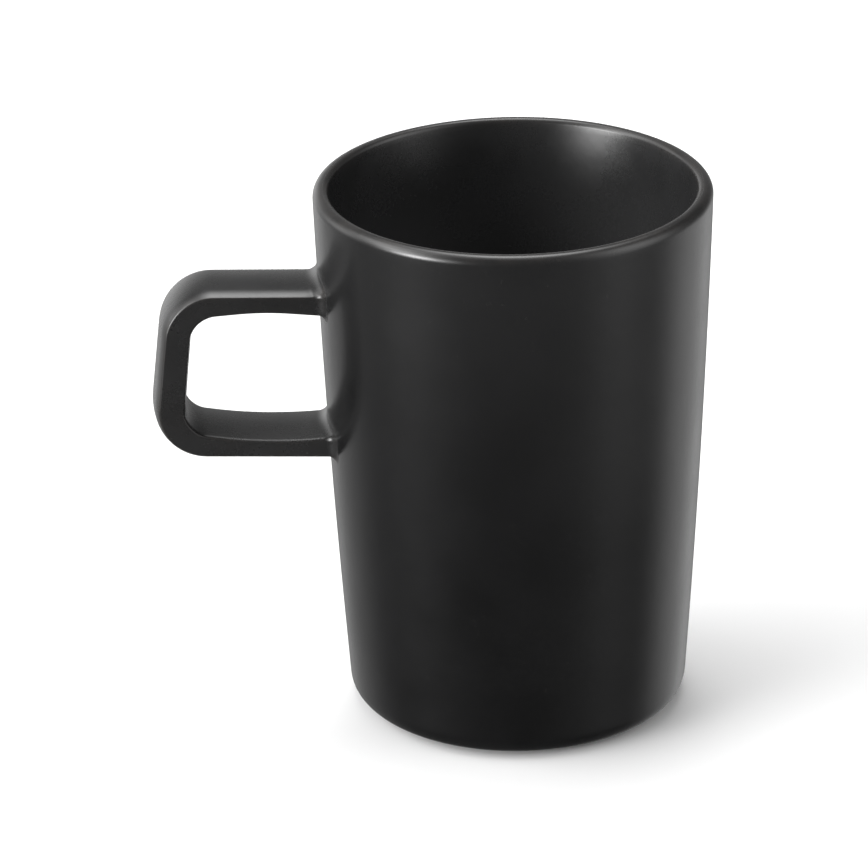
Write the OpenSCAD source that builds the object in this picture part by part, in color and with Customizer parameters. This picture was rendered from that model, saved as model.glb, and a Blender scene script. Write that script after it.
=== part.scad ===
/* [Cup] */
// Height from the table to the crest of the lip
cup_h = 111.4; // [100:0.1:125]
// Outside diameter of the wall line at the lip
rim_d = 80; // [74:0.1:88]
// Outside diameter of the wall line at the base
base_d = 68.8; // [64:0.1:72]
// How far the wall bows out of a straight taper, at mid height
wall_bow = 0.6; // [0:0.05:1.5]
// Wall thickness just under the lip, glaze included
lip_t = 3; // [2.6:0.05:4]
// Wall thickness from below the lip's flare down to the base, glaze included
base_t = 5.5; // [4:0.1:6]
// Depth over which the inside flares out and the wall thins towards the lip
lip_run = 14; // [8:0.5:30]
// Height of the glazed floor inside the cup
floor_z = 7; // [6:0.1:9]
// Rounding between the inside wall and the floor
floor_round = 9; // [5:0.5:14]
// Rounding of the outer edge of the base
base_round = 4.5; // [3:0.1:6]

/* [Lip] */
// Rounding of the lip's outer edge
lip_round_out = 1.9; // [1.4:0.05:2.2]

/* [Foot] */
// Outside radius of the bare foot ring
foot_r = 29; // [26:0.1:29.5]
// Width of the foot ring
foot_w = 3.4; // [2.5:0.1:5]
// How far the foot ring stands below the glazed base
foot_lift = 0.6; // [0.4:0.05:1.2]
// Depth of the recess inside the foot ring
recess_h = 1.7; // [1.2:0.1:2.5]
// Chamfer on both edges of the foot ring
foot_chamfer = 0.35; // [0.2:0.05:0.5]

/* [Glaze] */
// Thickness of the fired glaze coat
glaze = 0.35; // [0.25:0.05:0.5]
// Bare strip left between a glaze edge and the foot ring
wiped_strip = 0.4; // [0.2:0.1:1]

/* [Handle] */
// Width of the strap, across the cup
strap_w = 15.6; // [13:0.1:17]
// Thickness of the strap at its crest, along its straight runs, glaze included
strap_t = 4.8; // [4:0.05:6]
// Extra thickness on the inner side of the upper corner
top_swell = 0.95; // [0:0.05:1.5]
// Extra thickness on the inner side of the lower corner
low_swell = 1.3; // [0:0.05:2]
// Reach of a corner's extra thickness along the strap
swell_len = 9.5; // [7:0.5:12]
// Extra thickness on the inner side of the grip, between the corners
grip_swell = 1.5; // [0:0.05:2]
// Reach of the grip's extra thickness along the strap
grip_len = 13; // [9:0.5:16]
// Extra thickness on the inner side where the upper arm reaches the wall
top_root_swell = 1; // [0:0.05:1.5]
// Extra thickness on the inner side where the lower arm reaches the wall
low_root_swell = 0.65; // [0:0.05:1.5]
// Length of arm over which it thickens towards the wall
root_len = 14; // [8:0.5:15]
// Tilt of the strap's gently crowned outer face where it meets its shoulders, in degrees
crown_out = 7; // [3:1:10]
// Tilt of the inner face where it meets its shoulders, in degrees
crown_in = 6; // [3:1:12]
// Rounding of the broad shoulders along the outer face
shoulder_out = 9; // [4:0.5:14]
// Rounding of the shoulders along the inner face
shoulder_in = 2.5; // [1.5:0.1:4]
// Tilt at which the outer shoulders break into the sides, in degrees
break_out = 24; // [15:1:40]
// Tilt at which the inner shoulders break into the sides, in degrees
break_in = 24; // [15:1:40]
// Small rounding between a shoulder and a side
edge_r = 0.55; // [0.5:0.05:1]
// Height of the upper arm's middle at the wall
arm_top_z = 90.6; // [86:0.1:92]
// Rise of the upper arm from the wall to its corner
arm_top_rise = 1.2; // [0:0.1:2]
// Reach of the upper corner from the cup's axis, to the strap's middle
reach_top = 68.2; // [64:0.1:70]
// Reach of the lower corner from the cup's axis, to the strap's middle
reach_low = 71.9; // [68:0.1:74]
// Height of the lower corner of the strap's middle line
corner_low_z = 60.3; // [58:0.1:63]
// Height of the lower arm's middle at the wall
arm_low_z = 58.5; // [56:0.1:60]
// Bend radius of the strap's middle line at both corners
corner_r = 8.4; // [7:0.1:10]

/* [Slip joints] */
// Rounding that the luting slip makes between strap and wall
slip_round = 1.9; // [1:0.1:2.5]

/* [Hidden] */
$fn = 96;
rim_r = rim_d / 2;
base_r = base_d / 2;
taper_h = cup_h - foot_lift;
lip_round_in = lip_t - lip_round_out;
foot_in_r = foot_r - foot_w;
wall_steps = 24;
arc_steps = 10;
clay_color = "#cdbfa8";
slip_color = "#b9a98f";
glaze_color = "#26282b";

// ---- Cup outline: [radius, height] points ----

// Share of the taper passed at height z: 0 at the crest, 1 at the base
function drop(z) = (cup_h - z) / taper_h;
// Outside radius of the glazed wall
function wall_r(z) = rim_r - (rim_r - base_r) * drop(z) + 4 * wall_bow * drop(z) * (1 - drop(z));
// Share of the wall's full thickness gained at height z: 0 at the crest, nearly 1 below the flare
function gained(z) = 1 - 2 / (exp(2 * (cup_h - z) / lip_run) + 1);
// Inside radius of the glazed wall
function bore_r(z) = wall_r(z) - lip_t - (base_t - lip_t) * gained(z);
// Points along an arc in the outline's plane
function arc(c, r, a0, a1) =
    [for (i = [0:arc_steps]) let (a = a0 + (a1 - a0) * i / arc_steps) c + r * [cos(a), sin(a)]];

// Angle of the outside wall from the vertical, near the base
wall_lean = atan((wall_r(foot_lift + 10) - wall_r(foot_lift)) / 10);
base_arc_z = foot_lift + base_round;
base_top_z = base_arc_z - base_round * sin(wall_lean);
base_arc_r = wall_r(base_top_z) - base_round * cos(wall_lean);
lip_low_z = cup_h - lip_round_out;
bore_low_z = floor_z + floor_round;
// Angle of the inside wall from the vertical, at the lip
lip_lean = atan((bore_r(cup_h) - bore_r(cup_h - 2)) / 2);
lip_in_z = cup_h - lip_round_in;
bore_top_z = lip_in_z + lip_round_in * sin(lip_lean);
lip_mid_r = wall_r(lip_low_z) - lip_round_out;
lip_in_r = bore_r(bore_top_z) + lip_round_in * cos(lip_lean);

// Outside surface at a depth below the glaze's face, from the base up to the crest
function outside(depth) = concat(
    arc([base_arc_r, base_arc_z], base_round - depth, -90, -wall_lean),
    [for (i = [1:wall_steps]) let (z = base_top_z + (lip_low_z - base_top_z) * i / wall_steps)
        [wall_r(z) - depth, z]],
    arc([lip_mid_r, lip_low_z], lip_round_out - depth, 0, 90));
// Inside surface at a depth below the glaze's face, from the crest down to the floor's middle
function inside(depth) = concat(
    arc([lip_in_r, lip_in_z], lip_round_in - depth, 90, 180 - lip_lean),
    [for (i = [1:wall_steps]) let (z = bore_top_z + (bore_low_z - bore_top_z) * pow(i / wall_steps, 1.5))
        [bore_r(z) + depth, z]],
    arc([bore_r(bore_low_z) - floor_round, bore_low_z], floor_round + depth, 0, -90),
    [[0, floor_z - depth]]);
function backwards(p) = [for (i = [len(p) - 1:-1:0]) p[i]];

// The cup with nothing taken out of it, at a depth below the glaze's face
module cup_envelope(depth) {
    rotate_extrude($fn = 360)
        polygon(concat([[0, foot_lift + depth]], outside(depth), [[0, cup_h - depth]]));
}

// ---- Handle outline, in the plane through the cup's axis ----

root_sink = 1.2;
wall_start = [wall_r(arm_top_z), arm_top_z];
wall_end = [wall_r(arm_low_z), arm_low_z];
corner_top = [reach_top, arm_top_z + arm_top_rise];
corner_low = [reach_low, corner_low_z];
function unit(v) = v / norm(v);
// Direction across the strap, away from the finger gap
function outward(d) = [-d[1], d[0]];
dir_top = unit(corner_top - wall_start);
dir_grip = unit(corner_low - corner_top);
dir_low = unit(wall_end - corner_low);
function bend(a, b) = acos(a * b);
// Length of straight line that a bend takes from each side of its corner
function cut(a, b) = corner_r * tan(bend(a, b) / 2);
function turned(d, a) = [d[0] * cos(a) + d[1] * sin(a), d[1] * cos(a) - d[0] * sin(a)];

bend_steps = 12;
run_steps = 3;
// Middle point of the bend round a corner
function bend_mid(c, a, b) = c + unit(outward(a) + outward(b)) * corner_r * (1 - 1 / cos(bend(a, b) / 2));
mid_top = bend_mid(corner_top, dir_top, dir_grip);
mid_low = bend_mid(corner_low, dir_grip, dir_low);
mid_grip = (mid_top + mid_low) / 2;
function bump(p, mid, len) = exp(-pow(norm(p - mid) / len, 2));
function root_rise(p, wall) = pow(max(0, 1 - norm(p - wall) / root_len), 2);
// Extra thickness on the strap's inner side at a point of its middle line
function swell(p) = top_swell * bump(p, mid_top, swell_len) + low_swell * bump(p, mid_low, swell_len)
    + grip_swell * bump(p, mid_grip, grip_len)
    + top_root_swell * root_rise(p, wall_start) + low_root_swell * root_rise(p, wall_end);

// A station along the strap is [middle point, direction, extra thickness, distance from wall]
function station(p, d) = [p, d, swell(p), -1];
function straight(a, b, d) = [for (i = [0:run_steps]) station(a + (b - a) * i / run_steps, d)];
function corner(c, a, b) =
    let (start = c - a * cut(a, b), hub = start - outward(a) * corner_r)
    [for (i = [1:bend_steps - 1]) let (d = turned(a, bend(a, b) * i / bend_steps))
        station(hub + outward(d) * corner_r, d)];

// Distances from the wall of the stations that follow the wall's curve
slip_steps = 6;
root_gaps = concat([-root_sink, 0],
                   [for (i = [1:slip_steps]) slip_round * (1 - cos(90 * i / slip_steps))]);
free_gap = 2 * slip_round;
// Stations of the block that clears the outside glaze off a joint's seat
seat_gaps = [-root_sink, 0, free_gap];
// Stations beside the wall, on an arm that leaves it (way 1) or meets it (way -1)
function root(a, d, way, gaps) = [for (g = gaps) [a, d, swell(a + way * d * g), g]];
stations = concat(
    root(wall_start, dir_top, 1, root_gaps),
    straight(wall_start + dir_top * free_gap, corner_top - dir_top * cut(dir_top, dir_grip), dir_top),
    corner(corner_top, dir_top, dir_grip),
    straight(corner_top + dir_grip * cut(dir_top, dir_grip),
             corner_low - dir_grip * cut(dir_grip, dir_low), dir_grip),
    corner(corner_low, dir_grip, dir_low),
    straight(corner_low + dir_low * cut(dir_grip, dir_low), wall_end - dir_low * free_gap, dir_low),
    root(wall_end, dir_low, -1, backwards(root_gaps)));
upper_stations = [for (i = [0:len(root_gaps) - 2]) stations[i]];
lower_stations = [for (i = [len(stations) - len(root_gaps) + 1:len(stations) - 1]) stations[i]];

// How far the slip's fillet stands out of the strap at a distance from the wall
slip_feather = 0.12;
function slip_out(gap) =
    let (s = slip_round - min(max(gap, 0) + slip_feather, slip_round))
    gap < 0 && gap != -root_sink ? 0 : slip_round - sqrt(slip_round * slip_round - s * s);

// One point of a face of the section, where its normal tilts by an angle; g moves it off the glaze's face
function face_point(crown, brk, shoulder, crest, g, tilt) =
    let (a = abs(tilt),
         flat = strap_w / 2 - shoulder * (sin(brk) - sin(crown)) - edge_r * (1 - sin(brk)),
         crown_r = flat / sin(crown),
         c_face = [0, crest - crown_r],
         c_shoulder = c_face + (crown_r - shoulder) * [sin(crown), cos(crown)],
         c_edge = c_shoulder + (shoulder - edge_r) * [sin(brk), cos(brk)],
         q = a <= crown ? c_face + (crown_r + g) * [sin(a), cos(a)]
           : a <= brk ? c_shoulder + (shoulder + g) * [sin(a), cos(a)]
           : c_edge + (edge_r + g) * [sin(a), cos(a)])
    [tilt < 0 ? -q[0] : q[0], q[1]];
// Tilts of the points along a face, from one side of the strap to the other
function half_tilts(crown, brk) = [90, (90 + brk) / 2, brk, (2 * brk + crown) / 3, (brk + 2 * crown) / 3, crown];
function tilts(crown, brk) =
    let (half = half_tilts(crown, brk)) concat(half, [0], [for (t = backwards(half)) -t]);
// Outline of the strap's section as [across, outward], grown by a margin on every side of the clay
function section(extra, grow) =
    let (g = grow - glaze)
    concat([for (t = tilts(crown_out, break_out))
               face_point(crown_out, break_out, shoulder_out, strap_t / 2, g, t)],
           [for (t = backwards(tilts(crown_in, break_in)))
               let (q = face_point(crown_in, break_in, shoulder_in, strap_t / 2 + extra, g, t)) [q[0], -q[1]]]);
ring_len = 26;

// Radius of the clay wall's surface at a height, met at a distance y off the handle's plane
function wall_x(y, z) = sqrt(pow(wall_r(z) - glaze, 2) - y * y);
// One point of a ring: a root station lies parallel to the wall, any other is square to the strap
function ring_point(s, q) =
    let (out = outward(s[1]), p = s[0] + out * q[1])
    s[3] == -1 ? [-p[0], q[0], p[1]]
               : let (x = wall_x(q[0], p[1]) + s[3], z = p[1] + (x - p[0]) * s[1][1] / s[1][0])
                 [-x, q[0], z];
// A ring of points round the strap, with or without the slip's fillet
function ring(s, grow, slip) =
    [for (q = section(s[2], grow + (slip ? slip_out(s[3]) : 0))) ring_point(s, q)];
function skin(list, grow, slip) = [for (s = list) each ring(s, grow, slip)];

// Triangles between the rings of a skin that starts at point first
function sides(count, first) = [for (k = [0:count - 2], i = [0:ring_len - 1])
    let (j = (i + 1) % ring_len, a = first + k * ring_len, b = a + ring_len)
    each [[a + i, a + j, b + j], [a + i, b + j, b + i]]];
function reversed(f) = [for (t = f) [t[2], t[1], t[0]]];
// Triangles that join one ring of an outer skin to the same ring of an inner skin
function rim_faces(a, b) = [for (i = [0:ring_len - 1]) let (j = (i + 1) % ring_len)
    each [[a + i, b + i, b + j], [a + i, b + j, a + j]]];

module strap_solid(list, grow) {
    n = len(list);
    last = (n - 1) * ring_len;
    polyhedron(skin(list, grow, false),
               concat(sides(n, 0),
                      [[for (i = [ring_len - 1:-1:0]) i], [for (i = [0:ring_len - 1]) last + i]]));
}

module strap_sleeve(list, grow, outer_slip, inner_slip) {
    n = len(list);
    inner = n * ring_len;
    last = (n - 1) * ring_len;
    polyhedron(concat(skin(list, grow, outer_slip), skin(list, 0, inner_slip)),
               concat(sides(n, 0), reversed(sides(n, inner)),
                      rim_faces(0, inner), reversed(rim_faces(last, inner + last))));
}

// ---- Sub-parts ----

// Fired clay cup: wall, floor and the bare foot ring that it stands on
module clay_body() {
    color(clay_color)
        rotate_extrude()
            polygon(concat(
                [[0, recess_h + glaze], [foot_in_r, recess_h + glaze],
                 [foot_in_r, foot_chamfer], [foot_in_r + foot_chamfer, 0],
                 [foot_r - foot_chamfer, 0], [foot_r, foot_chamfer], [foot_r, foot_lift + glaze]],
                outside(glaze), inside(glaze)));
}

// Fired clay strap, cut to the curve of the wall at both ends
module clay_handle() {
    color(clay_color)
        difference() {
            strap_solid(stations, 0);
            cup_envelope(glaze);
        }
}

// Collar of fired slip that lutes one end of the strap to the wall
module joint_slip(list) {
    color(slip_color)
        difference() {
            strap_sleeve(list, 0, true, false);
            cup_envelope(glaze);
        }
}

module upper_joint_slip() { joint_slip(upper_stations); }
module lower_joint_slip() { joint_slip(lower_stations); }

// Glaze on the outside, from the wiped foot up to the crest of the lip
module outer_glaze() {
    coat_r = foot_r + wiped_strip;
    color(glaze_color)
        difference() {
            rotate_extrude()
                polygon(concat([[coat_r, foot_lift + glaze], [coat_r + glaze, foot_lift]],
                               outside(0), backwards(outside(glaze))));
            strap_solid(root(wall_start, dir_top, 1, seat_gaps), slip_round);
            strap_solid(root(wall_end, dir_low, -1, backwards(seat_gaps)), slip_round);
        }
}

// Glaze on the inside, from the crest of the lip down over the floor
module inner_glaze() {
    color(glaze_color)
        rotate_extrude()
            polygon(concat(inside(0), backwards(inside(glaze))));
}

// Glaze over the strap and over both slip collars
module handle_glaze() {
    color(glaze_color)
        difference() {
            strap_sleeve(stations, glaze, true, true);
            cup_envelope(0);
        }
}

// Glaze on the recess inside the foot ring
module recess_glaze() {
    coat_r = foot_in_r - wiped_strip;
    color(glaze_color)
        rotate_extrude()
            polygon([[0, recess_h], [coat_r - glaze, recess_h],
                     [coat_r, recess_h + glaze], [0, recess_h + glaze]]);
}

clay_body();
clay_handle();
upper_joint_slip();
lower_joint_slip();
outer_glaze();
inner_glaze();
handle_glaze();
recess_glaze();
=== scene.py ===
import math

import bmesh
import bpy
import numpy as np
from mathutils import Matrix, Vector


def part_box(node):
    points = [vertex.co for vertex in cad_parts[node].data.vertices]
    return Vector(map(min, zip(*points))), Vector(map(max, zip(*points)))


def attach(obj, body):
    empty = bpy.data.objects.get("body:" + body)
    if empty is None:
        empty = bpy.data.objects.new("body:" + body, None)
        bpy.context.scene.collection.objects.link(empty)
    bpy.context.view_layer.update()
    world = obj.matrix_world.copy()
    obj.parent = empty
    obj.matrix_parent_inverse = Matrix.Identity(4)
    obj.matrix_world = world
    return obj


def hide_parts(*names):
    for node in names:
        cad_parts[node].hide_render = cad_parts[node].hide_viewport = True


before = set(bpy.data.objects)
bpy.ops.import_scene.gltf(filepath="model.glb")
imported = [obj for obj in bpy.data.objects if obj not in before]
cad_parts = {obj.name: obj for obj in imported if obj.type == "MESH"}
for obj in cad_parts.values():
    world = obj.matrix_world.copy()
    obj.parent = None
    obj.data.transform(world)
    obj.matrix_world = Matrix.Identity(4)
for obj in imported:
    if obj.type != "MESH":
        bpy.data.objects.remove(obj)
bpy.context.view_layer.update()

MM = 0.001

# ---------------------------------------------------------------- sizes, in millimetres
# The driving dimensions, as the CAD part is drawn.
# Cup: the wall's radii and bow, its thickness at the lip and below the flare, roundings, floor and foot.
RIM_R, BASE_R, WALL_BOW = 40.0, 34.4, 0.6
LIP_T, BASE_T, LIP_RUN = 3.0, 5.5, 14.0
LIP_ROUND_OUT, BASE_ROUND, FLOOR_ROUND = 1.9, 4.5, 9.0
FLOOR_Z = 7.0
FOOT_R, FOOT_W, FOOT_LIFT = 29.0, 3.4, 0.6
RECESS_H, WIPED_STRIP, GLAZE = 1.7, 0.4, 0.35
# Strap: width and thickness, and what its inner side gains at the corners, along the grip and at the roots.
STRAP_W, STRAP_T = 15.6, 4.8
TOP_SWELL, LOW_SWELL, SWELL_LEN = 0.95, 1.3, 9.5
GRIP_SWELL, GRIP_LEN = 1.5, 13.0
TOP_ROOT_SWELL, LOW_ROOT_SWELL, ROOT_LEN = 1.0, 0.65, 14.0
# Section: tilts in degrees where the crowned face ends and where the shoulder breaks, and the radii beyond.
CROWN_OUT, CROWN_IN, BREAK_OUT, BREAK_IN = 7.0, 6.0, 24.0, 24.0
SHOULDER_OUT, SHOULDER_IN, EDGE_R = 9.0, 2.5, 0.55
# Path of the strap's middle line.
ARM_TOP_Z, ARM_TOP_RISE, ARM_LOW_Z = 90.6, 1.2, 58.5
REACH_TOP, REACH_LOW, CORNER_LOW_Z, CORNER_R = 68.2, 71.9, 60.3, 8.4
# Roots: the fillet's radius at the side and what it gains on top, how far from the wall the plain strap
# begins, where along the strap the fillet takes its section, and how deep the coat goes into the wall.
SLIP_ROUND, SLIP_GATHER = 1.9, 0.65
FREE_GAP, ROOT_STEP, SKIRT = 4.5, 1.5, 0.3
# Radius of the small flat caps that close a coat at the cup's axis.
CAP_R = 0.4

CUP_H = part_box("outer_glaze")[1].z / MM
TAPER_H = CUP_H - FOOT_LIFT


def drop(z):
    """Share of the wall's taper passed at height z: 0 at the crest of the lip, 1 at the base."""
    return (CUP_H - z) / TAPER_H


def wall_r(z):
    """Outside radius of the glazed wall at height z."""
    s = drop(z)
    return RIM_R - (RIM_R - BASE_R) * s + 4 * WALL_BOW * s * (1 - s)


def bore_r(z):
    """Inside radius of the glazed wall at height z."""
    return wall_r(z) - LIP_T - (BASE_T - LIP_T) * np.tanh((CUP_H - z) / LIP_RUN)


# ---------------------------------------------------------------- mesh helpers

def smoothstep(t):
    t = np.clip(t, 0, 1)
    return t * t * (3 - 2 * t)


def arc(center, radius, start, end, steps):
    """Points along an arc, in degrees, start and end included."""
    a = np.radians(np.linspace(start, end, steps + 1))
    return np.stack([center[0] + radius * np.cos(a), center[1] + radius * np.sin(a)], 1)


def make_object(name, verts, faces):
    """A smooth-shaded mesh object from points in millimetres, with its faces turned outwards."""
    mesh = bpy.data.meshes.new(name)
    mesh.from_pydata((np.asarray(verts) * MM).tolist(), [], [list(f) for f in faces])
    mesh.validate()
    shell = bmesh.new()
    shell.from_mesh(mesh)
    if shell.calc_volume(signed=True) < 0:
        bmesh.ops.reverse_faces(shell, faces=shell.faces)
    shell.to_mesh(mesh)
    shell.free()
    mesh.shade_smooth()
    obj = bpy.data.objects.new(name, mesh)
    bpy.context.scene.collection.objects.link(obj)
    return obj


def mark(obj, name, share):
    """Stores a share at each vertex: "thin" where an edge shows, "pale" where the black is painted greyer, as
    painted light.
    """
    layer = obj.data.attributes.new(name, "FLOAT", "POINT")
    layer.data.foreach_set("value", np.clip(share, 0, 1).astype(np.float32))


def grid_faces(rows, cols):
    """Quads over rows of points, each row closed on itself."""
    faces = []
    for k in range(rows - 1):
        for i in range(cols):
            j = (i + 1) % cols
            a, b = k * cols, (k + 1) * cols
            faces.append((a + i, a + j, b + j, b + i))
    return faces


def capped(name, verts, cols):
    """A solid from rows of points, with a flat cap over the first row and over the last."""
    last = len(verts) - cols
    caps = [tuple(range(cols - 1, -1, -1)), tuple(range(last, last + cols))]
    return make_object(name, verts, grid_faces(len(verts) // cols, cols) + caps)


def revolve(outline, turns, wave=None):
    """Rows of points round the Z axis for an outline of (radius, height) points."""
    angle = np.linspace(0, 2 * math.pi, turns, endpoint=False)
    rows = []
    for r, z in outline:
        radius = r + (wave(angle, z) if wave else 0)
        rows.append(np.stack([radius * np.cos(angle), radius * np.sin(angle), np.full(turns, z)], 1))
    return np.concatenate(rows)


def wavers(seed, amount):
    """A slow unevenness of a hand-finished wall: a few low waves round and up the cup."""
    rng = np.random.default_rng(seed)
    terms = [(rng.integers(2, 7), rng.uniform(0.02, 0.09), rng.uniform(0, 6.28), rng.uniform(0, 6.28))
             for _ in range(6)]

    def wave(angle, z):
        total = sum(np.sin(n * angle + p) * math.sin(f * z + q) for n, f, p, q in terms)
        return amount * total / len(terms)
    return wave


# ---------------------------------------------------------------- cup
# Steps round the cup and up its wall; the outside wall's slow waver; how far below the crest the inside
# starts to take painted light, a greyer black, and over what depth; how much painted light greys the outside,
# from what height, and over what length.
TURNS, WALL_STEPS = 256, 90
WAVE, WAVE_SEED = 0.05, 3
DEEP_PAINTED_LIGHT_START, DEEP_PAINTED_LIGHT_DEPTH = 4.0, 35.0
UPPER_PAINTED_LIGHT, UPPER_PAINTED_LIGHT_LOW, UPPER_PAINTED_LIGHT_LEN = 0.11, 45.0, 58.0

# Derived: where the roundings of the base and the lip meet the walls.
LIP_ROUND_IN = LIP_T - LIP_ROUND_OUT
WALL_LEAN = math.degrees(math.atan((wall_r(FOOT_LIFT + 10) - wall_r(FOOT_LIFT)) / 10))
BASE_ARC_Z = FOOT_LIFT + BASE_ROUND
BASE_TOP_Z = BASE_ARC_Z - BASE_ROUND * math.sin(math.radians(WALL_LEAN))
BASE_ARC_R = wall_r(BASE_TOP_Z) - BASE_ROUND * math.cos(math.radians(WALL_LEAN))
LIP_LOW_Z = CUP_H - LIP_ROUND_OUT
LIP_MID_R = wall_r(LIP_LOW_Z) - LIP_ROUND_OUT
BORE_LOW_Z = FLOOR_Z + FLOOR_ROUND
LIP_LEAN = math.degrees(math.atan((bore_r(CUP_H) - bore_r(CUP_H - 2)) / 2))
LIP_IN_Z = CUP_H - LIP_ROUND_IN
BORE_TOP_Z = LIP_IN_Z + LIP_ROUND_IN * math.sin(math.radians(LIP_LEAN))
LIP_IN_R = bore_r(BORE_TOP_Z) + LIP_ROUND_IN * math.cos(math.radians(LIP_LEAN))
CREST_R = (LIP_MID_R + LIP_IN_R) / 2


def outside(depth):
    """Outline of the outside at a depth under the glaze's face, from under the base to the crest."""
    z = np.linspace(BASE_TOP_Z, LIP_LOW_Z, WALL_STEPS + 1)[1:]
    wall = np.stack([wall_r(z) - depth, z], 1)
    return np.concatenate([
        arc((BASE_ARC_R, BASE_ARC_Z), BASE_ROUND - depth, -90, -WALL_LEAN, 14), wall,
        arc((LIP_MID_R, LIP_LOW_Z), LIP_ROUND_OUT - depth, 0, 90, 14)[1:],
        [[CREST_R, CUP_H - depth]]])


def inside(depth):
    """Outline of the inside at a depth under the glaze's face, from the crest to the floor's middle."""
    z = np.linspace(BORE_TOP_Z, BORE_LOW_Z, WALL_STEPS + 1)[1:]
    wall = np.stack([bore_r(z) + depth, z], 1)
    floor_arc_r = bore_r(BORE_LOW_Z) - FLOOR_ROUND
    floor = [[r, FLOOR_Z - depth] for r in np.linspace(floor_arc_r, CAP_R, 14)[1:]]
    return np.concatenate([
        [[CREST_R, CUP_H - depth]],
        arc((LIP_IN_R, LIP_IN_Z), LIP_ROUND_IN - depth, 90, 180 - LIP_LEAN, 10), wall,
        arc((floor_arc_r, BORE_LOW_Z), FLOOR_ROUND + depth, 0, -90, 16)[1:], floor])


def outer_coat():
    """The outside glaze, from a soft rolled edge just off the foot ring up to the crest and back."""
    edge = arc((FOOT_R + WIPED_STRIP + GLAZE / 2, FOOT_LIFT + GLAZE / 2), GLAZE / 2, 180, 270, 4)
    under = [[r, FOOT_LIFT] for r in np.linspace(edge[-1][0], BASE_ARC_R, 4)[1:-1]]
    face = np.concatenate([edge, under, outside(0)])
    back = np.concatenate([[[FOOT_R + WIPED_STRIP, FOOT_LIFT + GLAZE]], outside(GLAZE)])
    outline = np.concatenate([face, back[::-1]])
    last = (len(outline) - 1) * TURNS
    seam = [(last + i, last + (i + 1) % TURNS, (i + 1) % TURNS, i) for i in range(TURNS)]
    verts = revolve(outline, TURNS, wavers(WAVE_SEED, WAVE))
    return make_object("outer_glaze_coat", verts, grid_faces(len(outline), TURNS) + seam)


def inner_coat():
    """The inside glaze, from the crest over the floor; the middle is closed by a small cap."""
    outline = np.concatenate([inside(0)[::-1], inside(GLAZE)])
    return capped("inner_glaze_coat", revolve(outline, TURNS), TURNS)


outer = outer_coat()
inner = inner_coat()
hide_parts("outer_glaze")
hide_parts("inner_glaze")
for piece in (outer, inner):
    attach(piece, "root")
    height = np.array([v.co.z / MM for v in piece.data.vertices])
    mark(piece, "thin", smoothstep((height - (CUP_H - LIP_ROUND_OUT)) / LIP_ROUND_OUT))
    # painted light: the black is painted greyer low in the cup, lifting the shade there, and a little higher
    # up outside, where the upper wall is lighter for the way the light falls
    if piece == inner:
        pale = smoothstep((CUP_H - DEEP_PAINTED_LIGHT_START - height) / DEEP_PAINTED_LIGHT_DEPTH)
    else:
        pale = UPPER_PAINTED_LIGHT * np.clip((height - UPPER_PAINTED_LIGHT_LOW) / UPPER_PAINTED_LIGHT_LEN, 0, 1)
    mark(piece, "pale", pale)

# ---------------------------------------------------------------- strap handle


def unit(v):
    """A vector of length 1 in the same direction."""
    v = np.asarray(v, float)
    return v / np.linalg.norm(v)


def outward(d):
    """The direction away from the finger gap, square to the strap's own."""
    return np.array([-d[1], d[0]])


def strap_stations():
    """Middle line of the strap as rows of (point, direction), from the upper wall to the lower wall."""
    start = np.array([wall_r(ARM_TOP_Z), ARM_TOP_Z])
    end = np.array([wall_r(ARM_LOW_Z), ARM_LOW_Z])
    top = np.array([REACH_TOP, ARM_TOP_Z + ARM_TOP_RISE])
    low = np.array([REACH_LOW, CORNER_LOW_Z])
    d_top, d_grip, d_low = unit(top - start), unit(low - top), unit(end - low)
    mids = []

    def bend(corner, a, b, steps=26):
        """Stations round one corner, from direction a to direction b."""
        turn = math.acos(a @ b)
        first = corner - a * CORNER_R * math.tan(turn / 2)
        hub = first - outward(a) * CORNER_R
        out = []
        for t in np.linspace(0, turn, steps + 1):
            d = np.array([a[0] * math.cos(t) + a[1] * math.sin(t), a[1] * math.cos(t) - a[0] * math.sin(t)])
            out.append((hub + outward(d) * CORNER_R, d))
        mids.append(out[steps // 2][0])
        return out

    upper, lower = bend(top, d_top, d_grip), bend(low, d_grip, d_low)

    def run(a, b, d, steps=10):
        """Stations between two points of a straight stretch."""
        return [(a + (b - a) * t, d) for t in np.linspace(0, 1, steps + 1)[1:-1]]

    first, last = start + d_top * FREE_GAP, end - d_low * FREE_GAP
    rows = [(first, d_top)] + run(first, upper[0][0], d_top)
    rows += upper + run(upper[-1][0], lower[0][0], d_grip) + lower
    rows += run(lower[-1][0], last, d_low) + [(last, d_low)]
    return start, d_top, end, d_low, mids, rows


START, D_TOP, END, D_LOW, MIDS, ROWS = strap_stations()


def swell(p):
    """Extra thickness on the strap's inner side at a point of its middle line."""

    def bump(mid, length):
        return math.exp(-(np.linalg.norm(p - mid) / length) ** 2)

    def rise(wall):
        return max(0.0, 1 - np.linalg.norm(p - wall) / ROOT_LEN) ** 2

    return (TOP_SWELL * bump(MIDS[0], SWELL_LEN) + LOW_SWELL * bump(MIDS[1], SWELL_LEN)
            + GRIP_SWELL * bump((MIDS[0] + MIDS[1]) / 2, GRIP_LEN)
            + TOP_ROOT_SWELL * rise(START) + LOW_ROOT_SWELL * rise(END))


def sin(degrees):
    return np.sin(np.radians(degrees))


def cos(degrees):
    return np.cos(np.radians(degrees))


def half_tilts(crown, brk):
    """Tilts of the normals across half a face, from the strap's side to the face's crest."""
    return np.concatenate([
        np.linspace(90, brk, 8), np.linspace(brk, crown, 12)[1:], np.linspace(crown, 0, 6)[1:]])


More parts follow.
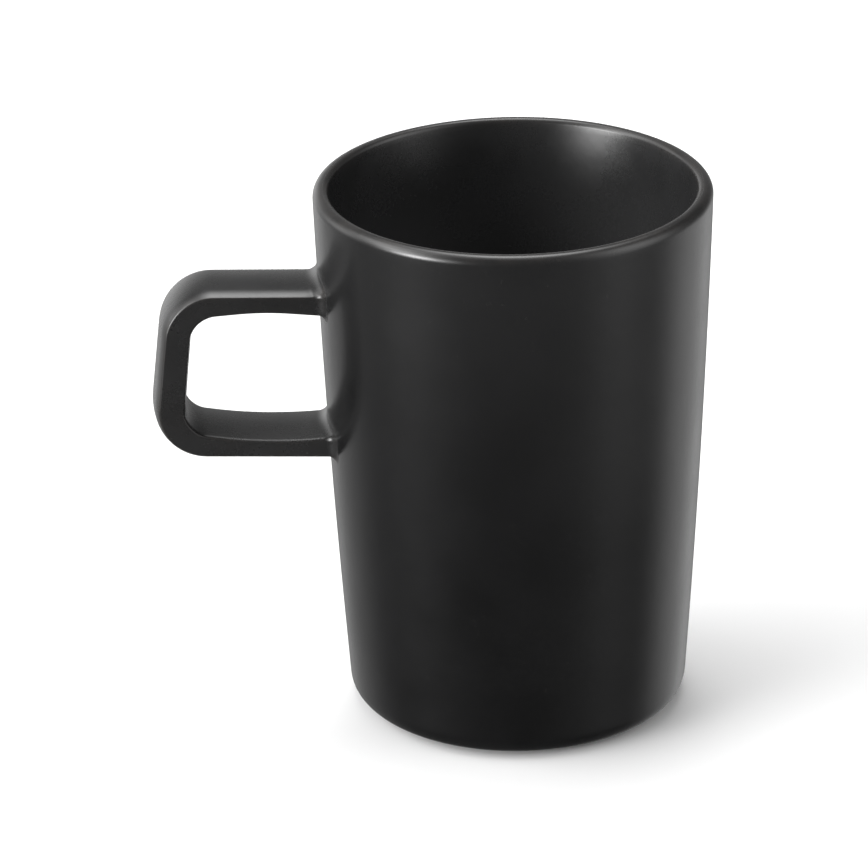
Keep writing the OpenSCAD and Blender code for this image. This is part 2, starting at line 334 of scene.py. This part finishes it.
def face(crown, brk, shoulder, crest):
    """A face of the section as (across, outward) points and tilts: a crown, shoulders and small edges."""
    flat = STRAP_W / 2 - shoulder * (sin(brk) - sin(crown)) - EDGE_R * (1 - sin(brk))
    crown_r = flat / sin(crown)
    face_c = np.array([0, crest - crown_r])
    shoulder_c = face_c + (crown_r - shoulder) * np.array([sin(crown), cos(crown)])
    edge_c = shoulder_c + (shoulder - EDGE_R) * np.array([sin(brk), cos(brk)])
    half = half_tilts(crown, brk)
    tilts = np.concatenate([half, -half[-2::-1]])
    points = []
    for tilt in tilts:
        a = abs(tilt)
        if a <= crown + 1e-9:
            center, r = face_c, crown_r
        elif a <= brk + 1e-9:
            center, r = shoulder_c, shoulder
        else:
            center, r = edge_c, EDGE_R
        q = center + r * np.array([sin(a), cos(a)])
        points.append([math.copysign(q[0], tilt) if a > 0 else 0.0, q[1]])
    return np.array(points), tilts


SIDE_STEPS = 5


def section(extra):
    """The strap's section as (across, outward) points and their outward normals."""
    outer_face, outer_tilt = face(CROWN_OUT, BREAK_OUT, SHOULDER_OUT, STRAP_T / 2)
    inner_face, inner_tilt = face(CROWN_IN, BREAK_IN, SHOULDER_IN, STRAP_T / 2 + extra)
    inner_face, inner_tilt = inner_face[::-1] * (1, -1), inner_tilt[::-1]
    outer_n = np.stack([sin(outer_tilt), cos(outer_tilt)], 1)
    inner_n = np.stack([sin(inner_tilt), -cos(inner_tilt)], 1)
    steps = np.linspace(0, 1, SIDE_STEPS + 1)[1:-1, None]
    back_side = outer_face[-1] + (inner_face[0] - outer_face[-1]) * steps
    front_side = inner_face[-1] + (outer_face[0] - inner_face[-1]) * steps
    points = np.concatenate([outer_face, back_side, inner_face, front_side])
    normals = np.concatenate([outer_n, np.tile(outer_n[-1], (len(steps), 1)), inner_n,
                              np.tile(inner_n[-1], (len(steps), 1))])
    return points, normals


def corner_share():
    """How thin the glaze lies round the section: 1 on the small edges, fading over the shoulders."""
    share = []
    for crown, brk in ((CROWN_OUT, BREAK_OUT), (CROWN_IN, BREAK_IN)):
        half = half_tilts(crown, brk)
        edge = 1 - (half - brk) / (90 - brk) * 0.6
        thin = np.where(half > brk, edge, ((half - crown) / (brk - crown)).clip(0) ** 2)
        share += [*thin, *thin[-2::-1]] + [0.25] * (SIDE_STEPS - 1)
    return np.array(share)


def slip_radius(up):
    """The fillet's radius: fuller on top, where the slip gathers, and tighter underneath."""
    return SLIP_ROUND + SLIP_GATHER * up


def wall_x(y, z):
    """How far out the wall lies beside its middle line, at height z."""
    return np.sqrt(wall_r(z) ** 2 - y * y)


def free_ring(p, d):
    """The section set square to the strap at a point of its middle line."""
    q, _ = section(swell(p))
    out = outward(d)
    xz = p + q[:, 1:2] * out
    return np.stack([-xz[:, 0], q[:, 0], xz[:, 1]], 1)


def root_ring(a, d, way, turn):
    """A ring in the fillet between strap and wall: turn runs from 0, on the strap, to 90, on the wall."""
    out = outward(d)
    q, n = section(swell(a + way * d * ROOT_STEP))
    up = n[:, 1] * out[1]
    r = slip_radius(up)
    t = math.radians(turn)
    grown = q + n * (r * (1 - math.cos(t)))[:, None]
    xz = a + grown[:, 1:2] * out
    gap = r * (1 - math.sin(t))
    x, z = xz[:, 0], xz[:, 1]
    for _ in range(3):
        x = wall_x(grown[:, 0], z) + gap
        z = xz[:, 1] + (x - xz[:, 0]) * d[1] / d[0]
    return np.stack([-x, grown[:, 0], z], 1)


def handle_coat():
    """The glaze over the strap: it flows into the wall's glaze through a tangent fillet at both roots."""
    turns = np.linspace(90, 0, 15)
    rings = [root_ring(START, D_TOP, 1, t) for t in turns]
    rings += [free_ring(p, d) for p, d in ROWS]
    rings += [root_ring(END, D_LOW, -1, t) for t in turns[::-1]]
    # a skirt under each root goes into the wall, so the coat closes inside the clay
    rings = [rings[0] + (SKIRT, 0, 0)] + rings + [rings[-1] + (SKIRT, 0, 0)]
    coat = capped("handle_glaze_coat", np.concatenate(rings), len(rings[0]))
    mark(coat, "thin", np.tile(corner_share(), len(rings)))
    return coat


handle = handle_coat()
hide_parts("handle_glaze")
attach(handle, "root")

# ---------------------------------------------------------------- foot


def recess_coat():
    """The glaze in the recess, rolled off at its edge just inside the foot ring."""
    edge_r = FOOT_R - FOOT_W - WIPED_STRIP
    rim = arc((edge_r - GLAZE / 2, RECESS_H + GLAZE / 2), GLAZE / 2, -90, 0, 4)
    face = [[r, RECESS_H] for r in np.linspace(CAP_R, rim[0][0], 16)[:-1]]
    back = [[edge_r, RECESS_H + GLAZE], [CAP_R, RECESS_H + GLAZE]]
    return capped("recess_glaze_coat", revolve(np.concatenate([face, rim, back]), TURNS), TURNS)


recess = recess_coat()
mark(recess, "thin", np.zeros(len(recess.data.vertices)))
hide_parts("recess_glaze")
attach(recess, "root")

# ---------------------------------------------------------------- materials


class Nodes:
    """Short calls for building one material's node tree, in the object's own coordinates."""

    def __init__(self, name):
        self.mat = bpy.data.materials.new(name)
        self.mat.use_nodes = True
        self.tree = self.mat.node_tree
        self.bsdf = self.tree.nodes["Principled BSDF"]
        self.place = self.tree.nodes.new("ShaderNodeTexCoord").outputs["Object"]

    def link(self, source, socket):
        self.tree.links.new(source, socket)

    def noise(self, size_mm, detail, seed, stretch=(1, 1, 1)):
        """Noise with features of about size_mm, stretched along the axes, with its own offset."""
        shift = self.tree.nodes.new("ShaderNodeMapping")
        shift.inputs["Location"].default_value = (seed * 0.37, seed * 0.61, seed * 0.23)
        shift.inputs["Scale"].default_value = stretch
        self.link(self.place, shift.inputs["Vector"])
        node = self.tree.nodes.new("ShaderNodeTexNoise")
        node.inputs["Scale"].default_value = 1 / (size_mm * MM)
        node.inputs["Detail"].default_value = detail
        node.inputs["Roughness"].default_value = 0.55
        self.link(shift.outputs["Vector"], node.inputs["Vector"])
        return node.outputs["Fac"]

    def ramp(self, source, low, high, out_low=0.0, out_high=1.0):
        """Maps low..high of a value smoothly onto out_low..out_high."""
        node = self.tree.nodes.new("ShaderNodeMapRange")
        node.interpolation_type = "SMOOTHSTEP"
        limits = {"From Min": low, "From Max": high, "To Min": out_low, "To Max": out_high}
        for key, value in limits.items():
            node.inputs[key].default_value = value
        self.link(source, node.inputs["Value"])
        return node.outputs["Result"]

    def math(self, operation, first, second):
        node = self.tree.nodes.new("ShaderNodeMath")
        node.operation = operation
        for k, value in enumerate((first, second)):
            if isinstance(value, (int, float)):
                node.inputs[k].default_value = value
            else:
                self.link(value, node.inputs[k])
        return node.outputs["Value"]

    def mix(self, share, first, second):
        """Mixes two colours, each a triple or a socket, by a share."""
        node = self.tree.nodes.new("ShaderNodeMix")
        node.data_type = "RGBA"
        self.link(share, node.inputs["Factor"])
        for key, value in (("A", first), ("B", second)):
            socket = next(i for i in node.inputs if i.name == key and i.type == "RGBA")
            if isinstance(value, tuple):
                socket.default_value = (*value, 1)
            else:
                self.link(value, socket)
        return next(o for o in node.outputs if o.type == "RGBA")

    def attribute(self, name):
        node = self.tree.nodes.new("ShaderNodeAttribute")
        node.attribute_name = name
        return node.outputs["Fac"]

    def bump(self, height, depth_mm, under=None):
        """A bump of depth_mm over an earlier one."""
        node = self.tree.nodes.new("ShaderNodeBump")
        node.inputs["Strength"].default_value = 1.0
        node.inputs["Distance"].default_value = depth_mm * MM
        self.link(height, node.inputs["Height"])
        if under is not None:
            self.link(under, node.inputs["Normal"])
        return node.outputs["Normal"]

    def from_axis(self):
        """Distance from the cup's axis."""
        flat = self.tree.nodes.new("ShaderNodeVectorMath")
        flat.operation = "MULTIPLY"
        flat.inputs[1].default_value = (1, 1, 0)
        self.link(self.place, flat.inputs[0])
        size = self.tree.nodes.new("ShaderNodeVectorMath")
        size.operation = "LENGTH"
        self.link(flat.outputs["Vector"], size.inputs[0])
        return size.outputs["Value"]


def glaze_material(name, tone, gloss, seed, speck=0.28):
    """Satin black glaze: slow clouding, pin specks, a thinner film on the edges, and a soft orange peel."""
    n = Nodes(name)
    dark, light = tuple(0.72 * c for c in tone), tuple(1.28 * c for c in tone)
    clouds = n.mix(n.ramp(n.noise(24, 3, seed), 0.3, 0.7), dark, light)
    specks = n.ramp(n.noise(0.7, 1, seed + 1), 0.68, 0.80, 0, speck)
    spotted = n.mix(specks, clouds, (0.032, 0.030, 0.028))
    thin = n.math("MULTIPLY", n.attribute("thin"), n.ramp(n.noise(5, 3, seed + 2), 0.35, 0.75, 0.15, 0.6))
    thinned = n.mix(thin, spotted, (0.022, 0.019, 0.017))
    # the "pale" share mixes in a greyer black: painted light, lifting the shade deep in the cup and
    # lightening the upper outside wall
    n.link(n.mix(n.attribute("pale"), thinned, (0.055, 0.055, 0.0555)), n.bsdf.inputs["Base Color"])
    slow = n.ramp(n.noise(15, 2, seed + 3), 0.3, 0.7, gloss - 0.022, gloss + 0.022)
    fine = n.ramp(n.noise(0.9, 2, seed + 4), 0.3, 0.7, -0.012, 0.012)
    n.link(n.math("ADD", slow, fine), n.bsdf.inputs["Roughness"])
    peel = n.bump(n.noise(3.2, 2, seed + 5), 0.022)
    n.link(n.bump(n.noise(0.5, 1, seed + 6), 0.0016, peel), n.bsdf.inputs["Normal"])
    return n.mat


def clay_material(name, tone, seed, drag=(1, 1, 1), grain_mm=0.012):
    """Bare fired stoneware: buff body, iron specks, sandy grain, and a stain where glaze was wiped off."""
    n = Nodes(name)
    dark, light = tuple(0.86 * c for c in tone), tuple(1.1 * c for c in tone)
    body = n.mix(n.ramp(n.noise(6, 4, seed, drag), 0.3, 0.7), dark, light)
    iron = n.ramp(n.noise(0.8, 2, seed + 1), 0.66, 0.74, 0, 0.75)
    specked = n.mix(iron, body, (0.16, 0.10, 0.06))
    radius = n.from_axis()
    outer_edge = n.ramp(radius, (FOOT_R - 0.7) * MM, (FOOT_R + 0.2) * MM)
    inner_edge = n.ramp(radius, (FOOT_R - FOOT_W + 0.6) * MM, (FOOT_R - FOOT_W - 0.2) * MM)
    smear = n.ramp(n.noise(2.2, 3, seed + 2), 0.35, 0.65, 0.25, 0.8)
    stain = n.math("MULTIPLY", n.math("MAXIMUM", outer_edge, inner_edge), smear)
    n.link(n.mix(stain, specked, (0.09, 0.075, 0.065)), n.bsdf.inputs["Base Color"])
    n.link(n.ramp(n.noise(0.7, 3, seed + 3), 0.3, 0.7, 0.78, 0.92), n.bsdf.inputs["Roughness"])
    sand = n.bump(n.noise(0.45, 3, seed + 4), grain_mm)
    n.link(n.bump(n.noise(4, 2, seed + 5, drag), 0.03, sand), n.bsdf.inputs["Normal"])
    return n.mat


# The inside and handle copies of this one black glaze get a lighter base tone than the outside: painted
# light, lifting their shade.
outside_black = glaze_material("satin_black_outside", (0.0035, 0.0035, 0.0036), 0.235, 1)
inside_black = glaze_material("satin_black_inside", (0.012, 0.012, 0.0122), 0.27, 11, speck=0.1)
handle_black = glaze_material("satin_black_handle", (0.013, 0.013, 0.0132), 0.27, 21)
clay = clay_material("bare_stoneware", (0.56, 0.47, 0.37), 21)
slip = clay_material("joint_slip", (0.50, 0.42, 0.33), 31, drag=(1, 1, 4), grain_mm=0.007)

for piece, material in ((outer, outside_black), (inner, inside_black), (handle, handle_black),
                        (recess, outside_black)):
    piece.data.materials.append(material)
for node, material in (("clay_body", clay), ("clay_handle", clay),
                       ("upper_joint_slip", slip), ("lower_joint_slip", slip)):
    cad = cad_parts[node]
    cad.data.materials.clear()
    cad.data.materials.append(material)

# ---------------------------------------------------------------- stage, light and camera
FLOOR_HALF = 4000
corners = [(x * FLOOR_HALF, y * FLOOR_HALF, 0) for x, y in ((-1, -1), (1, -1), (1, 1), (-1, 1))]
floor = make_object("floor", corners, [(0, 1, 2, 3)])
card = Nodes("pale_floor")
card.bsdf.inputs["Base Color"].default_value = (0.9, 0.9, 0.9, 1)
card.bsdf.inputs["Roughness"].default_value = 1.0
floor.data.materials.append(card.mat)
floor.visible_glossy = False
floor.visible_shadow = False

# The camera: turn round the mug, tilt and roll in degrees; distance in metres; lens and sensor in mm; and the
# point that it looks at, in mm to its right of the cup's axis and up from the floor.
VIEW_TURN, VIEW_TILT, VIEW_ROLL = -4.0, 23.95, -1.05
VIEW_DISTANCE, LENS, SENSOR = 1.0, 203.8, 36.0
AIM_RIGHT, AIM_UP = -16.57, 56.62 + FOOT_LIFT

# Soft lights all round the mug: azimuth from the camera, positive to its right; elevation; width; strength.
SOFT_LIGHTS = (
    ("key, left front", -57, 10, 9, 24.0),
    ("key's upper part", -74, 32, 10, 7.5),
    ("left, high", -100, 50, 12, 4.5),
    ("overhead", 180, 67, 10.5, 8.2),
    ("behind, low", 178, 6, 15, 0.2),
    ("horizon, left rear", -155, 2, 14, 1.0),
    ("above", 0, 86, 11, 0.7),
    ("front right, low", 40, -24, 16, 0.08),
    ("right", 72, 17, 17, 1.95),
    ("right, high", 78, 42, 14, 1.5),
    ("right, low", 62, -13, 12, 0.55),
    ("right rear, low", 115, -20, 12, 0.85),
    ("rear right, low", 145, -26, 12, 0.8),
    ("left, low", -67, -13, 13, 0.35),
    ("left rear, low", -125, -25, 13, 0.3),
    ("rear left, low", -155, -22, 12, 0.35),
    ("left rear", -113, 13, 12, 2.1),
)
AMBIENT, BACKDROP = 0.1, 0.92


def light_direction(azimuth, elevation):
    """Unit vector of a direction given from the camera's own azimuth."""
    az, el = math.radians(azimuth + VIEW_TURN), math.radians(elevation)
    return (math.sin(az) * math.cos(el), -math.cos(az) * math.cos(el), math.sin(el))


def studio():
    """A world of soft lights, each a smooth patch of sky, before a plain pale backdrop."""
    world = bpy.data.worlds.new("studio")
    bpy.context.scene.world = world
    world.use_nodes = True
    nodes, links = world.node_tree.nodes, world.node_tree.links
    sky = nodes.new("ShaderNodeTexCoord").outputs["Generated"]
    total = None
    for _, azimuth, elevation, width, strength in SOFT_LIGHTS:
        aim = nodes.new("ShaderNodeVectorMath")
        aim.operation = "DOT_PRODUCT"
        aim.inputs[1].default_value = light_direction(azimuth, elevation)
        links.new(sky, aim.inputs[0])
        sharp = 1 / math.radians(width) ** 2
        fall = nodes.new("ShaderNodeMath")
        fall.operation = "MULTIPLY_ADD"
        links.new(aim.outputs["Value"], fall.inputs[0])
        fall.inputs[1].default_value, fall.inputs[2].default_value = sharp, -sharp
        patch = nodes.new("ShaderNodeMath")
        patch.operation = "EXPONENT"
        links.new(fall.outputs["Value"], patch.inputs[0])
        add = nodes.new("ShaderNodeMath")
        add.operation = "MULTIPLY_ADD"
        links.new(patch.outputs["Value"], add.inputs[0])
        add.inputs[1].default_value = strength
        if total is None:
            add.inputs[2].default_value = AMBIENT
        else:
            links.new(total, add.inputs[2])
        total = add.outputs["Value"]
    seen = nodes.new("ShaderNodeLightPath").outputs["Is Camera Ray"]
    lamp = nodes["Background"]
    links.new(total, lamp.inputs["Strength"])
    plain = nodes.new("ShaderNodeBackground")
    plain.inputs["Strength"].default_value = BACKDROP
    join = nodes.new("ShaderNodeMixShader")
    links.new(seen, join.inputs[0])
    links.new(lamp.outputs["Background"], join.inputs[1])
    links.new(plain.outputs["Background"], join.inputs[2])
    links.new(join.outputs["Shader"], nodes["World Output"].inputs["Surface"])
    for background in (lamp, plain):
        background.inputs["Color"].default_value = (1, 1, 1, 1)


def aim_camera():
    """The camera at the photograph's angle, rolled a little about its own line of sight."""
    turn, tilt, roll = (math.radians(v) for v in (VIEW_TURN, VIEW_TILT, VIEW_ROLL))
    back = Vector((math.sin(turn) * math.cos(tilt), -math.cos(turn) * math.cos(tilt), math.sin(tilt)))
    right = Vector((math.cos(turn), math.sin(turn), 0))
    up = back.cross(right)
    place = (right * AIM_RIGHT + Vector((0, 0, AIM_UP))) * MM + back * VIEW_DISTANCE
    cam_x = right * math.cos(roll) + up * math.sin(roll)
    cam_y = up * math.cos(roll) - right * math.sin(roll)
    camera = bpy.data.objects.new("camera", bpy.data.cameras.new("camera"))
    camera.data.lens = LENS
    camera.data.sensor_width = SENSOR
    pose = Matrix((cam_x, cam_y, back)).transposed().to_4x4()
    pose.translation = place
    camera.matrix_world = pose
    bpy.context.scene.collection.objects.link(camera)
    bpy.context.scene.camera = camera


studio()
aim_camera()
bpy.context.scene.view_settings.view_transform = "Standard"
